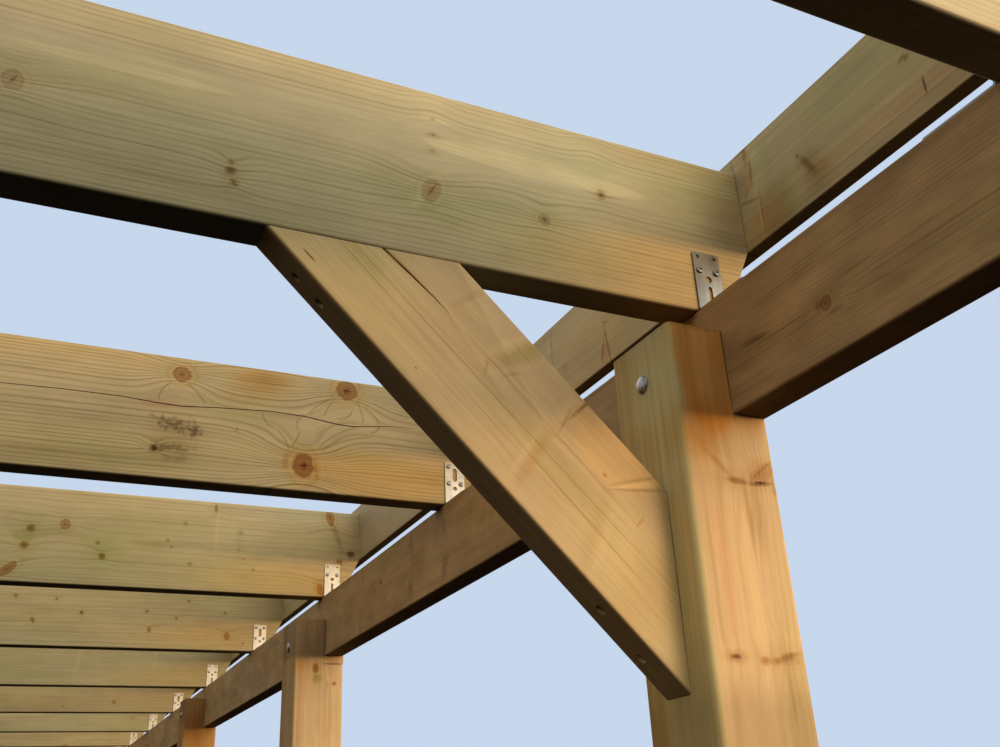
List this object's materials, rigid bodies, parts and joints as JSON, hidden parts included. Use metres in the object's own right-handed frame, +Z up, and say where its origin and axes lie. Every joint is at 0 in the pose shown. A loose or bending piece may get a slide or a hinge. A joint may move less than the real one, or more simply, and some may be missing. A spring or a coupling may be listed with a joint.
{
  "type": "open timber carport frame",
  "caption": "Open post-and-beam carport frame with notched square posts, edge-set plates, deep rafters, knee braces, end boards and zinc angle brackets.",
  "frame": {"origin": "on the ground, at the middle of the whole frame in plan", "axes": "+X across the frame to its right row of posts, +Y from the front to the rear along the rows, +Z up"},
  "size_m": [5.444, 7.486, 2.499],
  "materials": {
    "post_timber": "planed pressure-treated softwood, warm tan, eased arrises",
    "beam_timber": "planed pressure-treated softwood, brown-tan",
    "board_timber": "planed pressure-treated softwood board, grey-green tan",
    "rafter_timber": "planed pressure-treated softwood, green-tan with knots",
    "zinc_steel": "pale zinc-plated sheet steel"
  },
  "bodies": {
    "root": {"post_left_1": "post_timber", "post_left_2": "post_timber", "post_left_3": "post_timber", "post_left_4": "post_timber", "post_left_5": "post_timber", "packer_left_2": "beam_timber", "packer_left_4": "beam_timber", "plate_left_1": "beam_timber", "plate_left_2": "beam_timber", "plate_left_3": "beam_timber", "fascia_left_1": "board_timber", "fascia_left_2": "board_timber", "brace_left_front": "beam_timber", "brace_left_rear": "beam_timber", "brackets_left": "zinc_steel", "post_right_1": "post_timber", "post_right_2": "post_timber", "post_right_3": "post_timber", "post_right_4": "post_timber", "post_right_5": "post_timber", "packer_right_2": "beam_timber", "packer_right_4": "beam_timber", "plate_right_1": "beam_timber", "plate_right_2": "beam_timber", "plate_right_3": "beam_timber", "fascia_right_1": "board_timber", "fascia_right_2": "board_timber", "brace_right_front": "beam_timber", "brace_right_rear": "beam_timber", "brackets_right": "zinc_steel", "rafter_1": "rafter_timber", "rafter_2": "rafter_timber", "rafter_3": "rafter_timber", "rafter_4": "rafter_timber", "rafter_5": "rafter_timber", "rafter_6": "rafter_timber", "rafter_7": "rafter_timber", "rafter_8": "rafter_timber", "rafter_9": "rafter_timber", "rafter_10": "rafter_timber", "rafter_11": "rafter_timber"}
  },
  "joints": []
}
